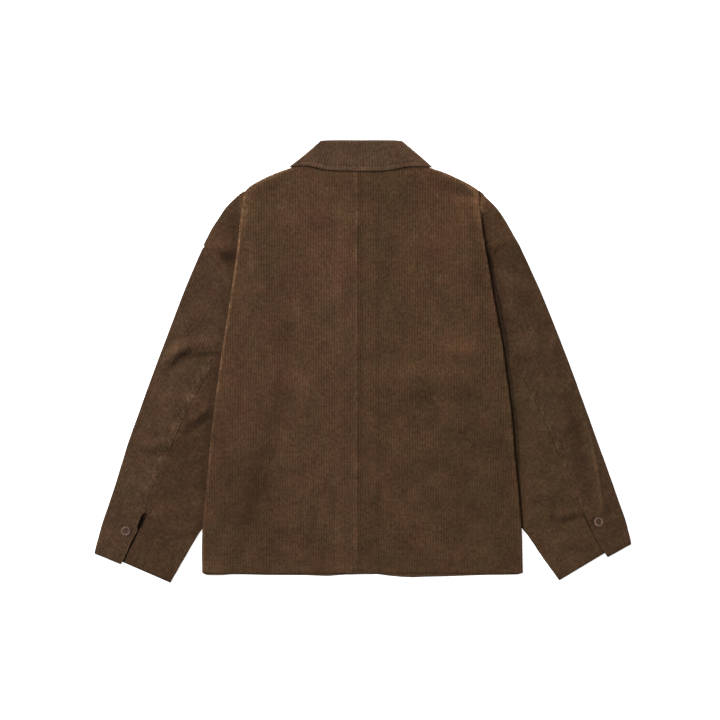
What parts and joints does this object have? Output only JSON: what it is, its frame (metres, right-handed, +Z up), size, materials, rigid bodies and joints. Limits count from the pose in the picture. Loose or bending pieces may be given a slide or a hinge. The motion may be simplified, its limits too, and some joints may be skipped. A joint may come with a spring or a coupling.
{
  "type": "corduroy jacket",
  "caption": "Boxy drop-shoulder corduroy jacket laid flat on its fronts, collar turned down, sleeves turned down and tucked under the side folds.",
  "frame": {"origin": "middle of the bounding box, on the surface that the jacket lies on", "axes": "+Z up out of the jacket's back, +Y towards the collar, +X towards the jacket's right sleeve as it lies back upwards"},
  "size_m": [0.8863, 0.7294, 0.0098],
  "materials": {
    "front_left_finish": "cotton corduroy, matte with a soft nap sheen",
    "front_right_finish": "cotton corduroy, matte with a soft nap sheen",
    "back_left_finish": "cotton corduroy, matte with a soft nap sheen",
    "back_right_finish": "cotton corduroy, matte with a soft nap sheen",
    "sleeve_upper_left_finish": "cotton corduroy, matte with a soft nap sheen",
    "sleeve_upper_right_finish": "cotton corduroy, matte with a soft nap sheen",
    "sleeve_under_left_finish": "cotton corduroy, matte with a soft nap sheen",
    "sleeve_under_right_finish": "cotton corduroy, matte with a soft nap sheen",
    "collar_fall_finish": "cotton corduroy, matte with a soft nap sheen",
    "collar_stand_finish": "cotton corduroy, matte with a soft nap sheen",
    "cuff_button_left_finish": "semi-gloss mottled resin button",
    "cuff_button_right_finish": "semi-gloss mottled resin button"
  },
  "bodies": {
    "root": {"front_left": "front_left_finish", "front_right": "front_right_finish", "back_left": "back_left_finish", "back_right": "back_right_finish", "sleeve_upper_left": "sleeve_upper_left_finish", "sleeve_upper_right": "sleeve_upper_right_finish", "sleeve_under_left": "sleeve_under_left_finish", "sleeve_under_right": "sleeve_under_right_finish", "collar_fall": "collar_fall_finish", "collar_stand": "collar_stand_finish", "cuff_button_left": "cuff_button_left_finish", "cuff_button_right": "cuff_button_right_finish"}
  },
  "joints": []
}
